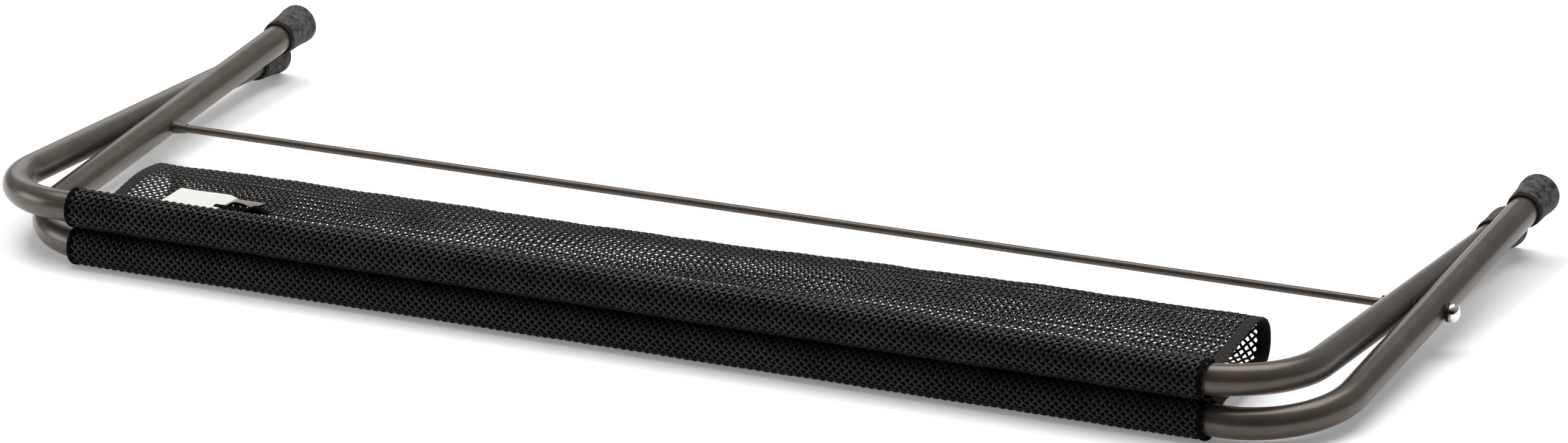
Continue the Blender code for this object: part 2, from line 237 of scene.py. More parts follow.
def woven_finish(name, dark, light, thread_mm, roughness, sheen, painted_shade_from=1000):
    """A fine weave drawn on the piece's own UV map, in metres; painted grey beige shade past a length in
    mm.
    """
    material, tree, shader = new_material(name, Roughness=roughness, Sheen_Weight=sheen,
                                          Specular_IOR_Level=0.15)
    flat = add(tree, "ShaderNodeUVMap", uv_map="cloth").outputs["UV"]
    # A wave texture repeats every (2 pi / 20) / Scale of its input.
    scale = pi / 10 / (thread_mm * MM)
    waves = [add(tree, "ShaderNodeTexWave", {"Vector": flat, "Scale": scale}, bands_direction=axis)
             for axis in ("X", "Y")]
    both = add(tree, "ShaderNodeMath", {0: waves[0].outputs["Fac"], 1: waves[1].outputs["Fac"]},
               operation="MULTIPLY").outputs["Value"]
    shade = add(tree, "ShaderNodeMix", {"Factor": both, "A": linear(dark), "B": linear(light)},
                data_type="RGBA")
    relief = add(tree, "ShaderNodeBump", {"Height": both, "Strength": 0.7, "Distance": 0.1 * MM})
    # Beyond a length along the piece the cloth is mixed to grey beige: painted shade.
    lengthways = add(tree, "ShaderNodeSeparateXYZ", {"Vector": flat}).outputs["Y"]
    painted_shade = add(tree, "ShaderNodeMapRange", {"Value": lengthways, "From Min": (painted_shade_from - 2) * MM,
                                              "From Max": (painted_shade_from + 2) * MM})
    cloth = add(tree, "ShaderNodeMix", {"Factor": painted_shade.outputs["Result"], "A": shade.outputs["Result"],
                                        "B": linear("#8e867d")}, data_type="RGBA")
    tree.links.new(cloth.outputs["Result"], shader.inputs["Base Color"])
    tree.links.new(relief.outputs["Normal"], shader.inputs["Normal"])
    return material


COATED_YARN = yarn_finish("pvc_coated_polyester_yarn", "#181817", "#2d2c29", 0.37, 35)
# Plain matt black: the sleeve-end bands, partly painted shade, and painted shade under the sleeves and
# the label.
BLACK_CLOTH_AND_SHADE = yarn_finish("black_cloth_and_painted_shade", "#050505", "#101010", 0.80, 5, 0.03)
BINDING = woven_finish("polyester_binding_tape", "#181817", "#3c3935", 0.9, 0.80, 0.02)
# Past 52 mm along the label its colour is grey beige painted shade.
LABEL_CLOTH = woven_finish("woven_label_cloth", "#d9d6d0", "#f7f6f3", 0.6, 0.8, 0.05, painted_shade_from=52)
print("cloths:", COATED_YARN.name, BINDING.name, LABEL_CLOTH.name)

# %% [markdown]
# ## Sizes from the frame
# The CAD record gives the axle's line as the joint's position, and each frame's plane as the direction
# of its foot mounts. All that has to be named here is what the CAD's boxes can't tell: the tube's
# radius, the radius of its bends and the radius of the sleeves' cloth.

# %% The two frames' planes
TUBE_RADIUS = 11.0 * MM
BEND_RADIUS = 68.0 * MM
SLEEVE_RADIUS = 13.2 * MM         # to the middle of the cloth round a crossbar
AXLE = Vector(frame["joints"][0]["pos_m"])
MOUNTS = {mount["name"]: mount for mount in frame["record"]["mounts"]}


def frame_plane(letter):
    """A frame's own axes on the axle's line, and its sizes: x along the crossbar, y down the legs."""
    left, right = (Vector(MOUNTS[f"foot_{letter}_{end}"]["pos_m"]) for end in ("left", "right"))
    down_leg = Vector(MOUNTS[f"foot_{letter}_left"]["axis"])
    sideways = Vector((1, 0, 0))
    place = Matrix((sideways, down_leg, sideways.cross(down_leg))).transposed().to_4x4()
    place.translation = Vector(((left.x + right.x) / 2, AXLE.y, AXLE.z))
    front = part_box(f"frame_{letter}_tube")[0].y + TUBE_RADIUS
    return {"place": place, "half_width": (right.x - left.x) / 2,
            "foot": (left - place.translation).dot(down_leg), "crossbar": (AXLE.y - front) / down_leg.y}


FRAMES = {letter: frame_plane(letter) for letter in "ab"}
for letter, plane in FRAMES.items():
    print("frame", letter, {k: round(v, 4) for k, v in plane.items() if k != "place"})

# %% [markdown]
# ## Making meshes
# A Geometry Nodes tree is run on a small start object, and the evaluated result is copied out as a
# plain mesh, so nothing in the finished model is live. Turned pieces need no tree: a profile is rounded
# at its corners and spun round its axis.

# %% Helpers that make and finish meshes
def new_tree(name, inputs):
    """A Geometry Nodes tree with named inputs; returns it with its input and output nodes."""
    tree = bpy.data.node_groups.new(name, "GeometryNodeTree")
    tree.interface.new_socket("Geometry", in_out="INPUT", socket_type="NodeSocketGeometry")
    for label, kind in inputs.items():
        tree.interface.new_socket(label, in_out="INPUT", socket_type=kind)
    tree.interface.new_socket("Geometry", in_out="OUTPUT", socket_type="NodeSocketGeometry")
    return tree, tree.nodes.new("NodeGroupInput").outputs, tree.nodes.new("NodeGroupOutput")


def run_tree(name, start, tree, values):
    """Runs the tree on a start object and returns the result as a plain mesh."""
    bpy.context.scene.collection.objects.link(start)
    modifier = start.modifiers.new(tree.name, "NODES")
    modifier.node_group = tree
    for socket in tree.interface.items_tree:
        if socket.in_out == "INPUT" and socket.name in values:
            modifier[socket.identifier] = values[socket.name]
    bpy.context.view_layer.update()
    evaluated = start.evaluated_get(bpy.context.evaluated_depsgraph_get())
    mesh = bpy.data.meshes.new_from_object(evaluated)
    bpy.data.objects.remove(start)
    mesh.name = name
    return mesh


def points_of(mesh):
    flat = np.zeros(len(mesh.vertices) * 3, np.float32)
    mesh.vertices.foreach_get("co", flat)
    return flat.reshape(-1, 3).astype(float)


def set_points(mesh, points):
    mesh.vertices.foreach_set("co", np.ascontiguousarray(points, np.float32).ravel())
    mesh.update()


def grid_mesh(name, rows, closed=False, endless=False):
    """A mesh from rows of points. Closed joins each row into a ring; endless joins last to first."""
    rows = np.asarray(rows, float)
    count, length = rows.shape[:2]
    faces = [(i * length + j, i * length + (j + 1) % length,
              (i + 1) % count * length + (j + 1) % length, (i + 1) % count * length + j)
             for i in range(count if endless else count - 1)
             for j in range(length if closed else length - 1)]
    if closed and not endless:
        faces += [tuple(range(length))[::-1], tuple((count - 1) * length + j for j in range(length))]
    mesh = bpy.data.meshes.new(name)
    mesh.from_pydata(rows.reshape(-1, 3).tolist(), [], faces)
    mesh.validate()
    return mesh


def weld(mesh, sides=0):
    """Merges points that meet, and closes open ends that have at most this many sides."""
    shape = bmesh.new()
    shape.from_mesh(mesh)
    bmesh.ops.remove_doubles(shape, verts=shape.verts, dist=2e-6)
    if sides:
        bmesh.ops.holes_fill(shape, edges=[e for e in shape.edges if e.is_boundary], sides=sides)
    bmesh.ops.recalc_face_normals(shape, faces=shape.faces)
    shape.to_mesh(mesh)
    shape.free()


def finish_piece(name, mesh, material, body, replaces=()):
    """Makes the mesh a piece of the rack that rides on a body and stands for CAD nodes."""
    if not mesh.materials:
        mesh.materials.append(material)
    mesh.shade_smooth()
    mesh.set_sharp_from_angle(angle=radians(50))
    piece = bpy.data.objects.new(name, mesh)
    bpy.context.scene.collection.objects.link(piece)
    if replaces:
        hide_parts(*replaces)
    if body:
        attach(piece, body)
    return piece


# %% [markdown]
# ## The tube frames
# On a bench each frame is one straight tube, bent twice in a mandrel bender. The tree does the same:
# it takes the bare corner points, rounds them with the bender's radius, and sweeps a circle along them.

# %% Bent tubes
def bent_tube_tree():
    tree, given, result = new_tree("bent_tube", {"Bend Radius": "NodeSocketFloat",
                                                 "Tube Radius": "NodeSocketFloat",
                                                 "Sides": "NodeSocketInt",
                                                 "Material": "NodeSocketMaterial"})
    bent = add(tree, "GeometryNodeFilletCurve", {"Curve": given["Geometry"], "Count": 24,
                                                 "Radius": given["Bend Radius"]}, mode="POLY")
    ring = add(tree, "GeometryNodeCurvePrimitiveCircle", {"Resolution": given["Sides"],
                                                          "Radius": given["Tube Radius"]})
    swept = add(tree, "GeometryNodeCurveToMesh", {"Curve": bent.outputs["Curve"],
                                                  "Profile Curve": ring.outputs["Curve"],
                                                  "Fill Caps": True})
    real = add(tree, "GeometryNodeRealizeInstances", {"Geometry": swept.outputs["Mesh"]})
    done = add(tree, "GeometryNodeSetMaterial", {"Geometry": real.outputs["Geometry"],
                                                 "Material": given["Material"]})
    tree.links.new(done.outputs["Geometry"], result.inputs["Geometry"])
    return tree


CAP_FLOOR = 5.3 * MM              # between a tube's end and the bottom of its foot
TUBE_TREE = bent_tube_tree()
for letter, plane in FRAMES.items():
    wide, end = plane["half_width"], plane["foot"] - CAP_FLOOR
    corners = [(-wide, end), (-wide, -plane["crossbar"]), (wide, -plane["crossbar"]), (wide, end)]
    path = bpy.data.curves.new("path", "CURVE")
    path.dimensions = "3D"
    spline = path.splines.new("POLY")
    spline.points.add(len(corners) - 1)
    for point, (x, y) in zip(spline.points, corners):
        point.co = (x, y, 0.0, 1.0)
    mesh = run_tree(f"tube_{letter}", bpy.data.objects.new("path", path), TUBE_TREE,
                    {"Bend Radius": BEND_RADIUS, "Tube Radius": TUBE_RADIUS, "Sides": 48,
                     "Material": POWDER_COAT})
    mesh.transform(plane["place"])
    finish_piece(f"tube_{letter}", mesh, POWDER_COAT, f"frame_{letter}",
                 [f"frame_{letter}_tube"])
    print(f"tube_{letter}:", len(mesh.polygons), "faces")

# %% [markdown]
# ## Turned pieces
# Feet, rod, washers and caps are all round, so each is one profile spun round its axis. A profile lists
# (radius, height) from the axis outwards, and a small radius rounds its corners, as a mould or a lathe
# tool would leave them.

# %% The lathe
def rounded(profile, radius, steps=4):
    """The profile with each inner corner cut back to a small curve."""
    points = [Vector(p) for p in profile]
    smooth = [points[0]]
    for before, corner, after in zip(points, points[1:], points[2:]):
        reach = min(radius, (before - corner).length / 2.2, (after - corner).length / 2.2)
        start = corner + (before - corner).normalized() * reach
        end = corner + (after - corner).normalized() * reach
        for step in range(steps + 1):
            t = step / steps
            smooth.append(start * (1 - t) ** 2 + corner * 2 * t * (1 - t) + end * t ** 2)
    return smooth + [points[-1]]


def lathe(name, profile, place, segments=64, endless=False):
    """Spins the profile round the Z axis and moves it into place."""
    angles = [2 * pi * i / segments for i in range(segments)]
    rows = [[(r * cos(a), r * sin(a), h) for a in angles] for r, h in profile]
    mesh = grid_mesh(name, rows, closed=True, endless=endless)
    mesh.transform(place)
    weld(mesh)
    return mesh


# %% [markdown]
# ### Feet
# Each foot is a ferrule that flares towards its base. Its mouth is a thin ring, kept black as painted
# shade of the gap where the tube enters, and below it comes the bloomed body. Both are one moulding on
# the real rack. They are two pieces here, because each has its own finish, and the ring sits 0.2 mm
# into the body.

# %% Ferrules
FOOT = {"mouth": 12.7 * MM, "body": 13.35 * MM, "flare": 13.9 * MM, "base": 15.0 * MM,
        "length": 35.0 * MM, "neck": 3.2 * MM, "band": 7.0 * MM, "bore": 11.1 * MM}


def foot_profiles():
    """The bloomed body and the black mouth ring, as (radius, height over the base)."""
    f = FOOT
    lip = f["length"] - f["neck"]
    body = [(f["bore"], lip), (f["body"], lip), (f["flare"], f["band"] + 9.0 * MM),
            (f["base"], f["band"]), (f["base"], 1.6 * MM), (f["base"] - 1.5 * MM, 0.0),
            (8.0 * MM, 0.0), (7.0 * MM, 1.0 * MM), (0.0, 1.0 * MM)]
    mouth = [(f["bore"], lip - 0.2 * MM), (f["bore"], f["length"]), (f["mouth"], f["length"]),
             (f["mouth"], lip - 0.2 * MM)]
    return body, mouth


for letter, plane in FRAMES.items():
    for end, side in (("left", -1), ("right", 1)):
        node = f"foot_cap_{letter}_{end}"
        stand = plane["place"] @ Matrix.Translation((side * plane["half_width"], plane["foot"], 0.0))
        stand = stand @ Matrix.Rotation(pi / 2, 4, "X")
        body, mouth = foot_profiles()
        finish_piece(node + "_ferrule", lathe(node + "_ferrule", rounded(body, 1.2 * MM), stand),
                     FERRULE_RUBBER, f"frame_{letter}", [node])
        finish_piece(node + "_mouth", lathe(node + "_mouth", mouth, stand, endless=True),
                     MOUTH_SHADE_RUBBER, f"frame_{letter}")
print("feet: 4 ferrules with their mouths")

# %% [markdown]
# ### Axle
# One rod passes through all four legs. Its head is at the left end, a push-on dome hides the other, and
# a tapered collar keeps the left legs from sliding. The CAD boxes give the places along the rod.

# %% Rod, collar, dome and washers
def along_axle(x):
    """Stands a turned piece on the axle at x, its top towards +X."""
    return Matrix.Translation((x, AXLE.y, AXLE.z)) @ Matrix.Rotation(pi / 2, 4, "Y")


def on_axle(name, node, profile, corner, material):
    """A turned piece in the place of a CAD node; profile takes its length and outer radius."""
    low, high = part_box(node)
    length, radius = high.x - low.x, (high.z - low.z) / 2
    mesh = lathe(name, rounded(profile(length, radius), corner), along_axle(low.x))
    return finish_piece(name, mesh, material, "frame_b", [node])


ROD_RADIUS = 3.0 * MM
HEAD_THICK = 2.0 * MM
on_axle("rod", "axle_rod",
        lambda length, radius: [(0, 0), (radius * 0.75, 0), (radius, HEAD_THICK * 0.5),
                                (radius, HEAD_THICK), (ROD_RADIUS, HEAD_THICK), (ROD_RADIUS, length),
                                (0, length)],
        0.4 * MM, LACQUERED_ROD)
on_axle("collar", "axle_collar",
        lambda length, radius: [(0, 0), (radius, 0), (radius, length * 0.3),
                                (ROD_RADIUS + 0.5 * MM, length), (0, length)],
        0.8 * MM, LACQUERED_ROD)
on_axle("clip", "axle_clip",
        lambda length, radius: [(0, 0), (radius, 0), (radius, length * 0.6), (radius * 0.7, length),
                                (0, length)],
        0.3 * MM, LACQUERED_ROD)
on_axle("dome", "axle_dome_cap",
        lambda length, radius: [(0, 0), (radius, 0), (radius, length * 0.25)]
        + [(radius * cos(a), length * (0.25 + 0.75 * sin(a))) for a in np.linspace(0.15, pi / 2, 12)],
        0.3 * MM, CHROME)
for name, node in (("dome_seat", "dome_cap_seat"), ("head_washer", "axle_head_washer"),
                   ("left_leg_washer", "leg_washer_left"), ("right_leg_washer", "leg_washer_right")):
    on_axle(name, node, lambda length, radius: [(0, 0), (radius, 0), (radius, length), (0, length)],
            0.25 * MM, BLACK_NYLON)
print("axle pieces on", [round(x, 4) for x in AXLE])

# %% [markdown]
# ## The woven sling
# Textilene is a plain weave of coated yarns, here cut on the bias, so that its strands run at about 45
# degrees and leave rows of diamond-shaped holes. The unit is one crossing: a strand humped over the
# other. Each next crossing along a strand has it under, so a second unit is the first turned upside
# down, and two grids of units, the second moved by half a step each way, make the whole cloth.

# %% A tree that weaves a flat cloth
PITCH = 6.1 * MM                  # from crossing to crossing, along and across the rack
YARN_WIDTH = 2.0 * MM
YARN_THICK = 1.3 * MM
YARN_SIDES = 6


def yarn(tree, run, side, hump, given):
    """Half a step of yarn through a crossing, at an angle, humped up or down in the middle."""
    tube = add(tree, "GeometryNodeMeshCylinder", {"Vertices": YARN_SIDES, "Side Segments": 2,
                                                  "Radius": 0.5, "Depth": 1.0}, fill_type="NONE")
    size = add(tree, "ShaderNodeCombineXYZ", {"X": given["Yarn Thickness"], "Y": given["Yarn Width"],
                                              "Z": run["length"]})
    laid = add(tree, "GeometryNodeTransform", {"Geometry": tube.outputs["Mesh"],
                                               "Scale": size.outputs["Vector"],
                                               "Rotation": (0.0, pi / 2, 0.0)})
    position = add(tree, "GeometryNodeInputPosition").outputs["Position"]
    place = add(tree, "ShaderNodeSeparateXYZ", {"Vector": position})
    off_middle = add(tree, "ShaderNodeMath", {0: place.outputs["X"]}, operation="ABSOLUTE")
    share = add(tree, "ShaderNodeMapRange", {"Value": off_middle.outputs["Value"], "From Min": 0.0,
                                             "From Max": run["half"], "To Min": hump, "To Max": 0.0})
    lift = add(tree, "ShaderNodeMath", {0: share.outputs["Result"], 1: given["Yarn Thickness"]},
               operation="MULTIPLY")
    raised = add(tree, "ShaderNodeCombineXYZ", {"Z": lift.outputs["Value"]})
    humped = add(tree, "GeometryNodeSetPosition", {"Geometry": laid.outputs["Geometry"],
                                                   "Offset": raised.outputs["Vector"]})
    angle = add(tree, "ShaderNodeMath", {0: run["angle"], 1: side}, operation="MULTIPLY")
    turn = add(tree, "ShaderNodeCombineXYZ", {"Z": angle.outputs["Value"]})
    return add(tree, "GeometryNodeTransform", {"Geometry": humped.outputs["Geometry"],
                                               "Rotation": turn.outputs["Vector"]}).outputs["Geometry"]


def weaving_tree():
    tree, given, result = new_tree("bias_weave", {
        "Columns": "NodeSocketInt", "Rows": "NodeSocketInt", "Step Along": "NodeSocketFloat",
        "Step Across": "NodeSocketFloat", "Yarn Width": "NodeSocketFloat",
        "Yarn Thickness": "NodeSocketFloat", "Material": "NodeSocketMaterial"})

    def math(operation, *values):
        return add(tree, "ShaderNodeMath", dict(enumerate(values)), operation=operation).outputs["Value"]

    along, across = given["Step Along"], given["Step Across"]
    length = math("MULTIPLY", math("SQRT", math("ADD", math("MULTIPLY", along, along),
                                                math("MULTIPLY", across, across))), 0.5)
    run = {"length": length, "half": math("MULTIPLY", length, 0.5),
           "angle": math("ARCTAN2", across, along)}
    layers = []
    for step, first in ((0.25, 0.5), (0.75, -0.5)):
        crossing = add(tree, "GeometryNodeJoinGeometry")
        for side, hump in ((1.0, first), (-1.0, -first)):
            tree.links.new(yarn(tree, run, side, hump, given), crossing.inputs["Geometry"])
        size_x = math("MULTIPLY", along, math("SUBTRACT", given["Columns"], 1.0))
        size_y = math("MULTIPLY", across, math("SUBTRACT", given["Rows"], 1.0))
        grid = add(tree, "GeometryNodeMeshGrid", {"Size X": size_x, "Size Y": size_y,
                                                  "Vertices X": given["Columns"],
                                                  "Vertices Y": given["Rows"]})
        shift = add(tree, "ShaderNodeCombineXYZ", {
            "X": math("ADD", math("MULTIPLY", size_x, 0.5), math("MULTIPLY", along, step)),
            "Y": math("ADD", math("MULTIPLY", size_y, 0.5), math("MULTIPLY", across, step))})
        moved = add(tree, "GeometryNodeTransform", {"Geometry": grid.outputs["Mesh"],
                                                    "Translation": shift.outputs["Vector"]})
        layers.append(add(tree, "GeometryNodeInstanceOnPoints", {
            "Points": moved.outputs["Geometry"], "Instance": crossing.outputs["Geometry"]}))
    cloth = add(tree, "GeometryNodeJoinGeometry")
    for layer in layers:
        tree.links.new(layer.outputs["Instances"], cloth.inputs["Geometry"])
    real = add(tree, "GeometryNodeRealizeInstances", {"Geometry": cloth.outputs["Geometry"]})
    done = add(tree, "GeometryNodeSetMaterial", {"Geometry": real.outputs["Geometry"],
                                                 "Material": given["Material"]})
    tree.links.new(done.outputs["Geometry"], result.inputs["Geometry"])
    return tree


WEAVE_TREE = weaving_tree()


def weave(name, columns, rows, along, across):
    """A flat cloth that covers columns x rows steps from the origin."""
    start = bpy.data.objects.new("loom", bpy.data.meshes.new("loom"))
    return run_tree(name, start, WEAVE_TREE, {
        "Columns": columns, "Rows": rows, "Step Along": along, "Step Across": across,
        "Yarn Width": YARN_WIDTH, "Yarn Thickness": YARN_THICK, "Material": COATED_YARN})


swatch = weave("swatch", 3, 2, PITCH, PITCH)
print("weave:", len(swatch.polygons), "faces in 3 x 2 steps,", np.ptp(points_of(swatch), axis=0).round(4))
bpy.data.meshes.remove(swatch)

# %% [markdown]
# ### Sleeves
# Round each crossbar the cloth is a snug sleeve. The flat cloth is rolled up: its length stays along
# the bar, its width becomes the angle, and its height over the table becomes radius. A little slack
# lets it ripple.

# %% Sleeves round the crossbars
SLING_LEFT, SLING_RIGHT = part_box("sling_sleeve_a")[0].x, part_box("sling_sleeve_a")[1].x
COLUMNS = 144                     # steps of the weave along the sling, each close to the pitch
ALONG = (SLING_RIGHT - SLING_LEFT) / COLUMNS
ROUND_ROWS = 14                   # steps of the weave round a crossbar
RIPPLE = 0.25 * MM


def ripple(x, t, seed):
    """A gentle unevenness of hand-pulled cloth, between about -1 and 1."""
    return (0.5 * np.sin(41 * x + 2.1 * t + seed) + 0.3 * np.sin(97 * x - 3.3 * t + 2 * seed)
            + 0.2 * np.sin(173 * x + 5.2 * t + 3 * seed))


for letter, plane in FRAMES.items():
    mesh = weave(f"sleeve_{letter}", COLUMNS, ROUND_ROWS, ALONG, 2 * pi * SLEEVE_RADIUS / ROUND_ROWS)
    flat = points_of(mesh)
    angle = flat[:, 1] / SLEEVE_RADIUS
    radius = SLEEVE_RADIUS + flat[:, 2] + RIPPLE * ripple(flat[:, 0], angle.round(6) % (2 * pi), 1.0)
    local = np.column_stack([flat[:, 0] + SLING_LEFT - plane["place"].translation.x,
                             -plane["crossbar"] - radius * np.cos(angle), radius * np.sin(angle)])
    set_points(mesh, local)
    mesh.transform(plane["place"])
    weld(mesh, YARN_SIDES)
    sleeve = finish_piece(f"sleeve_{letter}", mesh, COATED_YARN, f"frame_{letter}",
                          [f"sling_sleeve_{letter}"])
    print(sleeve.name, len(mesh.polygons), "faces")

# %% [markdown]
# A plain thin black shell lies against the tube under each sleeve. It is painted shade: it closes the
# holes from behind and makes the sleeve read black, as the shade inside the sleeve does.

# %% Painted shade: a black shell under each sleeve
SHADE_SHELL_THICK = 0.5 * MM
SHADE_SHELL_EASE = 0.15 * MM           # between the tube and the layer
SHADE_SHELL_SHORT = 3.0 * MM           # at each end, so that the layer stays under the sleeve
for letter, plane in FRAMES.items():
    half = (SLING_RIGHT - SLING_LEFT) / 2 - SHADE_SHELL_SHORT
    inner = TUBE_RADIUS + SHADE_SHELL_EASE
    outer = inner + SHADE_SHELL_THICK
    stand = plane["place"] @ Matrix.Translation(((SLING_LEFT + SLING_RIGHT) / 2
                                                 - plane["place"].translation.x, -plane["crossbar"], 0.0))
    stand = stand @ Matrix.Rotation(pi / 2, 4, "Y")
    profile = [(inner, -half), (outer, -half), (outer, half), (inner, half)]
    mesh = lathe(f"lining_{letter}", profile, stand, 48, endless=True)
    shade_shell = finish_piece(f"lining_{letter}", mesh, BLACK_CLOTH_AND_SHADE, f"frame_{letter}")
print("linings: 2")

# %% [markdown]
# ### The slack fold
# Behind the crossbars the slack of the sling stands up as one soft fold. Its section is given by a
# smooth line through a few points that a hand could measure: off the back of the upper sleeve, up to a
# ridge, round the back, and along the floor side to the lower sleeve. The fold leans further towards
# the crossbars at the left end than at the right, so the section changes gradually along the rack.

# %% The fold's section
FOLD_LENGTH = 218.0 * MM          # once round, from sleeve to sleeve
FOLD_ROWS = 18                    # steps of the weave in half of that
# Each point is (y, z) from the axle in mm: y is below 0 towards the crossbars, z is above 0 upwards.
RIGHT_SECTION = [(-194.0, 12.2), (-177, 13.2), (-160, 15.2), (-145, 17.7), (-130, 20.0), (-115, 21.2),
                 (-103, 18.8), (-96.5, 11.5), (-95, 2.5), (-96.5, -5.8), (-102, -12.4), (-114, -15.0),
                 (-132, -14.8), (-152, -14.4), (-172, -14.2), (-193.6, -14.0)]
LEFT_SECTION = [(-194.0, 11.6), (-180, 12.6), (-167, 14.2), (-154, 16.2), (-140, 17.8), (-126, 17.7),
                (-110, 15.2), (-99.5, 9.0), (-95, 0.0), (-98.5, -8.5), (-109, -14.6), (-125, -16.4),
                (-141, -15.9), (-158, -15.2), (-175, -14.6), (-193.6, -14.0)]


def smoothstep(value):
    t = np.clip(value, 0.0, 1.0)
    return t * t * (3 - 2 * t)


def section_line(points, samples=240):
    """A smooth line through the points, as y and z for equal shares of its length."""
    points = np.array(points) * MM
    knots = np.arange(len(points))
    fine = np.linspace(0, len(points) - 1, 1200)
    index = np.clip(fine.astype(int), 0, len(points) - 2)
    padded = np.vstack([2 * points[0] - points[1], points, 2 * points[-1] - points[-2]])
    p0, p1, p2, p3 = (padded[index + k] for k in range(4))
    t = (fine - index)[:, None]
    line = 0.5 * (2 * p1 + (p2 - p0) * t + (2 * p0 - 5 * p1 + 4 * p2 - p3) * t ** 2
                  + (3 * p1 - p0 - 3 * p2 + p3) * t ** 3)
    travelled = np.concatenate([[0], np.cumsum(np.linalg.norm(np.diff(line, axis=0), axis=1))])
    share = np.linspace(0, travelled[-1], samples)
    return np.column_stack([np.interp(share, travelled, line[:, k]) for k in (0, 1)]), travelled[-1]


RIGHT_LINE, RIGHT_LENGTH = section_line(RIGHT_SECTION)
LEFT_LINE, LEFT_LENGTH = section_line(LEFT_SECTION)


LOOSE_WAVE = 0.45 * MM            # the cloth's unevenness where it is clear of the sleeves


def on_fold(x, share, height=0.0):
    """World points of the fold: x along the rack, share of the way round, height off the cloth."""
    def middle(along, part):
        lean = 0.17 * smoothstep((along + 0.43) / 0.12) + 0.83 * smoothstep((along + 0.08) / 0.40)
        at = np.clip(part, 0, 1) * (len(RIGHT_LINE) - 1)
        places = np.arange(len(RIGHT_LINE))
        right, left = ([np.interp(at, places, line[:, k]) for k in (0, 1)]
                       for line in (RIGHT_LINE, LEFT_LINE))
        loose = smoothstep(part / 0.12) * smoothstep((1 - part) / 0.12)
        wave = LOOSE_WAVE * loose * ripple(along, 6 * part, 4.0)
        return np.column_stack([right[0] * lean + left[0] * (1 - lean) + 0.6 * wave,
                                right[1] * lean + left[1] * (1 - lean) + wave])
    x, share = np.broadcast_arrays(np.asarray(x, float), np.asarray(share, float))
    here = middle(x, share)
    ahead = middle(x, share + 0.004) - middle(x, share - 0.004)
    normal = np.column_stack([-ahead[:, 1], ahead[:, 0]]) / np.linalg.norm(ahead, axis=1)[:, None]
    point = here + normal * np.broadcast_to(height, x.shape)[:, None]
    return np.column_stack([x, point[:, 0] + AXLE.y, point[:, 1] + AXLE.z])


LEFT_DRAWN_IN = 12.0 * MM
RIGHT_DRAWN_IN = 4.0 * MM


def hem_x(side, share):
    """Where the cloth ends at the left or right: drawn in a little once it is off the sleeve."""
    drawn_in = smoothstep(share / 0.10) * smoothstep((1 - share) / 0.10)
    return SLING_LEFT + LEFT_DRAWN_IN * drawn_in if side < 0 else SLING_RIGHT - RIGHT_DRAWN_IN * drawn_in


print("fold:", round(LEFT_LENGTH, 4), "m round at the left,", round(RIGHT_LENGTH, 4), "m at the right")

# %% [markdown]
# When the rack opens, each half of the fold would swing with its own frame. Here the fold's pieces
# are attached to neither frame: each has its placement baked into its points.


def share_between_frames(piece):
    """Bakes the piece's placement into its points; it is not shared between the frames."""
    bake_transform(piece)


HALVES = {"upper": 0.0, "lower": 0.5}
for half, first_share in HALVES.items():
    for side, first_column in (("left", 0), ("right", COLUMNS // 2)):
        name = f"fold_{half}_{side}"
        mesh = weave(name, COLUMNS // 2, FOLD_ROWS, ALONG, FOLD_LENGTH / 2 / FOLD_ROWS)
        flat = points_of(mesh)
        share = first_share + flat[:, 1] / FOLD_LENGTH
        along = (flat[:, 0] + first_column * ALONG) / (COLUMNS * ALONG)
        left, right = hem_x(-1, share), hem_x(1, share)
        set_points(mesh, on_fold(left + along * (right - left), share, flat[:, 2]))
        weld(mesh, YARN_SIDES)
        cloth = finish_piece(name, mesh, COATED_YARN, None,
                             [f"sling_fold_{half}"] if side == "left" else [])
        share_between_frames(cloth)
        print(name, len(mesh.polygons), "faces")

# %% [markdown]
# ### Bindings
# A binding tape is folded over each raw end of the cloth and sewn through. Here it is a flat tube with
# rounded edges, made by sweeping a ring of points along the hem. Its stitches are left out.

# %% Binding tapes
TAPE_WIDTH = 10.0 * MM
TAPE_THICK = 2.0 * MM


def flat_ring(width, thick, count=9):
    """Points round a flat strip with rounded edges, as (across, height)."""
    top = [(width / 2 * x, thick / 2 * (1 - abs(x) ** 6) ** 0.5) for x in np.linspace(-1, 1, count)]
    return top + [(x, -h) for x, h in top[::-1]][1:-1]


def cloth_map(mesh, rows, loop_steps, row_steps):
    """Gives a closed grid a UV map in metres: along each ring, and from ring to ring."""
    layer = mesh.uv_layers.new(name="cloth")
    count = len(loop_steps) - 1
    values = []
    for i in range(rows - 1):
        for j in range(count):
            for row, column in ((i, j), (i, j + 1), (i + 1, j + 1), (i + 1, j)):
                values += [loop_steps[column], row_steps[row]]
    values += [0.0] * (2 * len(layer.data) - len(values))
    layer.data.foreach_set("uv", values)


def travelled(points):
    """The distance from the first point to each of the points, along them."""
    return np.concatenate([[0], np.cumsum(np.linalg.norm(np.diff(points, axis=0), axis=1))])


def swept_strip(name, rings, ring):
    """A closed strip from rings of points, with its cloth map."""
    mesh = grid_mesh(name, rings, closed=True)
    around = travelled(np.array(ring + ring[:1]))
    cloth_map(mesh, len(rings), around, travelled(np.array([row[0] for row in rings])))
    return mesh


RING = flat_ring(TAPE_WIDTH, TAPE_THICK)
for half, first_share in HALVES.items():
    for side, sign in (("left", -1), ("right", 1)):
        rings = []
        for share in np.linspace(first_share, first_share + 0.5, 49):
            hem = hem_x(sign, share) - sign * (TAPE_WIDTH / 2 - 0.5 * MM)
            across = np.array([a for a, h in RING])
            height = np.array([h for a, h in RING])
            rings.append(on_fold(hem + across, np.full(len(RING), share), height))
        name = f"tape_{half}_{side}"
        tape = finish_piece(name, swept_strip(name, rings, RING), BINDING, None,
                            [f"edge_tape_{half}_{side}"])
        share_between_frames(tape)
print("tapes: 4")
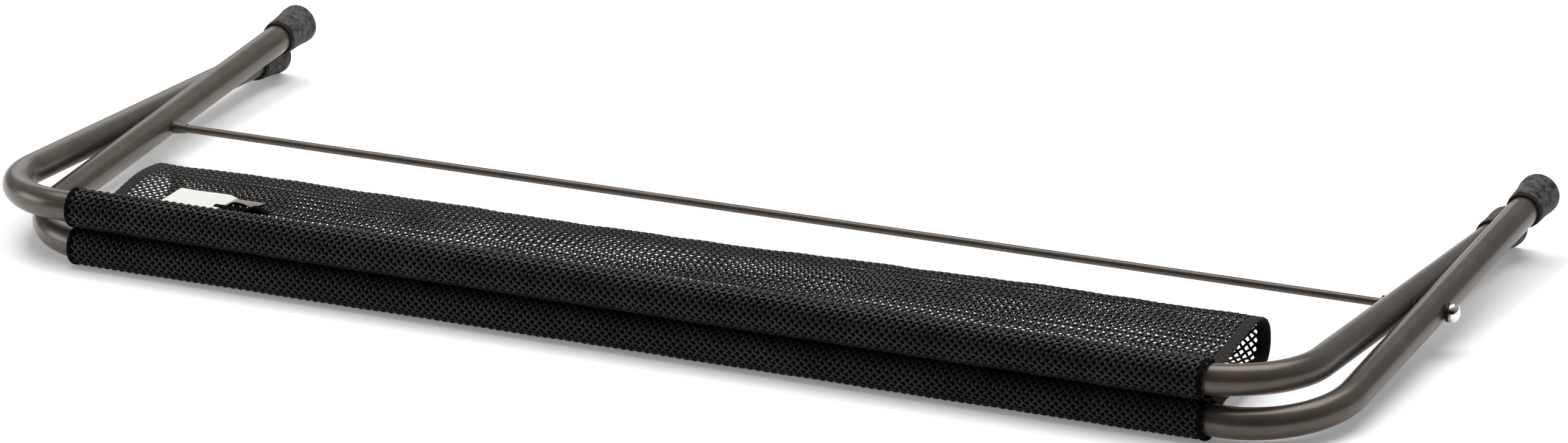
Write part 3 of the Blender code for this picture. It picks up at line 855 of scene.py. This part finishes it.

# %% [markdown]
# The sleeves' ends are bound as well, by a band that shows as a black ring on the tube. Its black is
# partly the band's own and partly painted shade of the gap between the cloth and the tube.

# %% Bands at the sleeve ends
BAND_WIDTH = 4.5 * MM
BAND_THICK = 2.6 * MM
for letter, plane in FRAMES.items():
    for side, end in (("left", SLING_LEFT + BAND_WIDTH / 2), ("right", SLING_RIGHT - BAND_WIDTH / 2)):
        name = f"band_{letter}_{side}"
        profile = [(SLEEVE_RADIUS + h, a) for a, h in flat_ring(BAND_WIDTH, BAND_THICK)]
        stand = plane["place"] @ Matrix.Translation((end - plane["place"].translation.x,
                                                     -plane["crossbar"], 0.0))
        mesh = lathe(name, profile, stand @ Matrix.Rotation(pi / 2, 4, "Y"), endless=True)
        finish_piece(name, mesh, BLACK_CLOTH_AND_SHADE, f"frame_{letter}")
print("bands: 4")

# %% [markdown]
# ### Label
# A plain white label is sewn to the top of the fold, close behind the upper sleeve. Its right end has
# come loose and curls up; there its colour is grey beige, painted shade of the curled end.

# %% Label
LABEL_LEFT, LABEL_RIGHT = -387.0 * MM, -315.0 * MM
LABEL_FRONT, LABEL_BACK = 0.060, 0.196      # as shares of the way round the fold
LOOSE_FROM = -338.0 * MM
LABEL_REST = 1.0 * MM             # off the middle of the cloth where it is sewn down
LABEL_CURL = 3.6 * MM             # more than that where it is loose
LABEL_THICK = 0.6 * MM
LABEL_SLANT = 6.0 * MM


def label_lift(x, back):
    """How far the label stands off the cloth; back is 0 at its front edge and 1 at its back edge."""
    loose = smoothstep((x - LOOSE_FROM) / 0.010) * smoothstep((LABEL_RIGHT + 0.004 - x) / 0.014)
    return LABEL_REST + LABEL_CURL * loose * (1 - 0.8 * back)


strip = flat_ring(LABEL_BACK - LABEL_FRONT, LABEL_THICK, 21)
across, thickness = (np.array([point[k] for point in strip]) for k in (0, 1))
rings = []
for x in np.linspace(LABEL_LEFT, LABEL_RIGHT, 49):
    back = across / (LABEL_BACK - LABEL_FRONT) + 0.5
    loose = smoothstep((x - LOOSE_FROM + 0.010) / 0.016)
    front, rear = LABEL_FRONT + 0.072 * loose, LABEL_BACK - 0.022 * loose
    share = front + back * (rear - front)
    slanted = x + LABEL_SLANT * (back - 0.5)
    rings.append(on_fold(slanted, share, thickness + label_lift(x, back)))
label = finish_piece("label_cloth",
                     swept_strip("label_cloth", rings, [(a * FOLD_LENGTH, h) for a, h in strip]),
                     LABEL_CLOTH, None, ["label"])
share_between_frames(label)
print("label:", len(label.data.polygons), "faces")

# %% [markdown]
# A black strip under the label's front edge is painted shadow: it stands for the deep shadow where the
# label has come away from the cloth.

# %% Painted shadow under the label
SHADOW_STRIP_WIDTH, SHADOW_STRIP_THICK = 5.0 * MM, 1.6 * MM
SHADOW_STRIP_LEFT, SHADOW_STRIP_RIGHT = -347.0 * MM, -302.0 * MM
SHADOW_STRIP_SHARE = 0.116              # of the way round the fold
SHADOW_STRIP_REST = 0.9 * MM
SHADOW_LUMP_AT, SHADOW_LUMP_HIGH = -313.0 * MM, 3.4 * MM  # where the painted shadow bunches into a black lump, past the label's loose end
shadow_strip = flat_ring(SHADOW_STRIP_WIDTH, SHADOW_STRIP_THICK)
across, thickness = (np.array([point[k] for point in shadow_strip]) for k in (0, 1))
rings = []
for x in np.linspace(SHADOW_STRIP_LEFT, SHADOW_STRIP_RIGHT, 31):
    shadow_lump = SHADOW_LUMP_HIGH * smoothstep(1 - abs(x - SHADOW_LUMP_AT) / 0.010)
    share = SHADOW_STRIP_SHARE + across / FOLD_LENGTH
    rings.append(on_fold(x, share, SHADOW_STRIP_REST + thickness + shadow_lump * (thickness > 0)))
mesh = swept_strip("label_shadow_strip", rings, shadow_strip)
label_shadow_strip = finish_piece("label_shadow_strip", mesh, BLACK_CLOTH_AND_SHADE, None)
share_between_frames(label_shadow_strip)
print("label tape:", len(mesh.polygons), "faces")

# %% [markdown]
# ## Floor and light
# The rack lies on a plain white floor under one large soft light overhead, one at the left that catches
# the yarns of the sling, and one behind that draws the tubes' rims. The room gets darker towards the
# horizon, so that the tubes keep a dark band along the middle. The lights are kept low, so that the
# floor seen through the holes of the open sling doesn't burn out the cloth round them.

# %% Studio
def soft_light(name, place, aim, size, watts):
    data = bpy.data.lights.new(name, "AREA")
    data.shape = "RECTANGLE"
    data.size, data.size_y = size
    data.energy = watts
    light = bpy.data.objects.new(name, data)
    light.location = place
    light.rotation_euler = (Vector(aim) - Vector(place)).to_track_quat("-Z", "Y").to_euler()
    bpy.context.scene.collection.objects.link(light)
    return light


FLOOR_NEAR, FLOOR_FAR, FLOOR_HALF = -20.0, 60.0, 30.0
floor_mesh = grid_mesh("floor", [[(-FLOOR_HALF, FLOOR_NEAR, 0), (FLOOR_HALF, FLOOR_NEAR, 0)],
                                 [(-FLOOR_HALF, FLOOR_FAR, 0), (FLOOR_HALF, FLOOR_FAR, 0)]])
floor = bpy.data.objects.new("floor", floor_mesh)
# Matt white paint. It gives off a little light of its own, which keeps it white between the shadows.
floor_paint, floor_tree, floor_shader = new_material("white_floor", Roughness=0.9, Specular_IOR_Level=0.1,
                                                     Emission_Color=linear("#ffffff"),
                                                     Emission_Strength=0.2)
floor_spot = add(floor_tree, "ShaderNodeTexCoord").outputs["Object"]
mottle = add(floor_tree, "ShaderNodeTexNoise", {"Vector": floor_spot, "Scale": 3.0})
white = add(floor_tree, "ShaderNodeMix", {"Factor": mottle.outputs["Fac"], "A": linear("#fbfbfb"),
                                          "B": linear("#fdfdfd")}, data_type="RGBA")
floor_tree.links.new(white.outputs["Result"], floor_shader.inputs["Base Color"])
floor.data.materials.append(floor_paint)
bpy.context.scene.collection.objects.link(floor)

soft_light("overhead", (-0.2, 0.5, 2.4), (0, 0.1, 0), (3.4, 1.8), 78)
soft_light("side", (-2.7, -1.15, 0.75), (-0.1, -0.2, 0), (1.5, 1.1), 21)
soft_light("rim", (-1.8, 2.4, 1.1), (0, 0, 0), (2.2, 0.9), 9)

world = bpy.data.worlds.new("room")
world.use_nodes = True
sky = world.node_tree
# The room is bright overhead and behind the rack, and dark round the camera.
aim = add(sky, "ShaderNodeVectorMath", {0: add(sky, "ShaderNodeTexCoord").outputs["Generated"],
                                        1: (0.0, 0.6, 0.8)}, operation="DOT_PRODUCT").outputs["Value"]
strength = add(sky, "ShaderNodeMapRange", {"Value": aim, "From Min": 0.0, "From Max": 0.7,
                                           "To Min": 0.01, "To Max": 0.42})
background = sky.nodes["Background"]
background.inputs["Color"].default_value = linear("#f4f6fa")
sky.links.new(strength.outputs["Result"], background.inputs["Strength"])
bpy.context.scene.world = world
bpy.context.scene.view_settings.view_transform = "Standard"
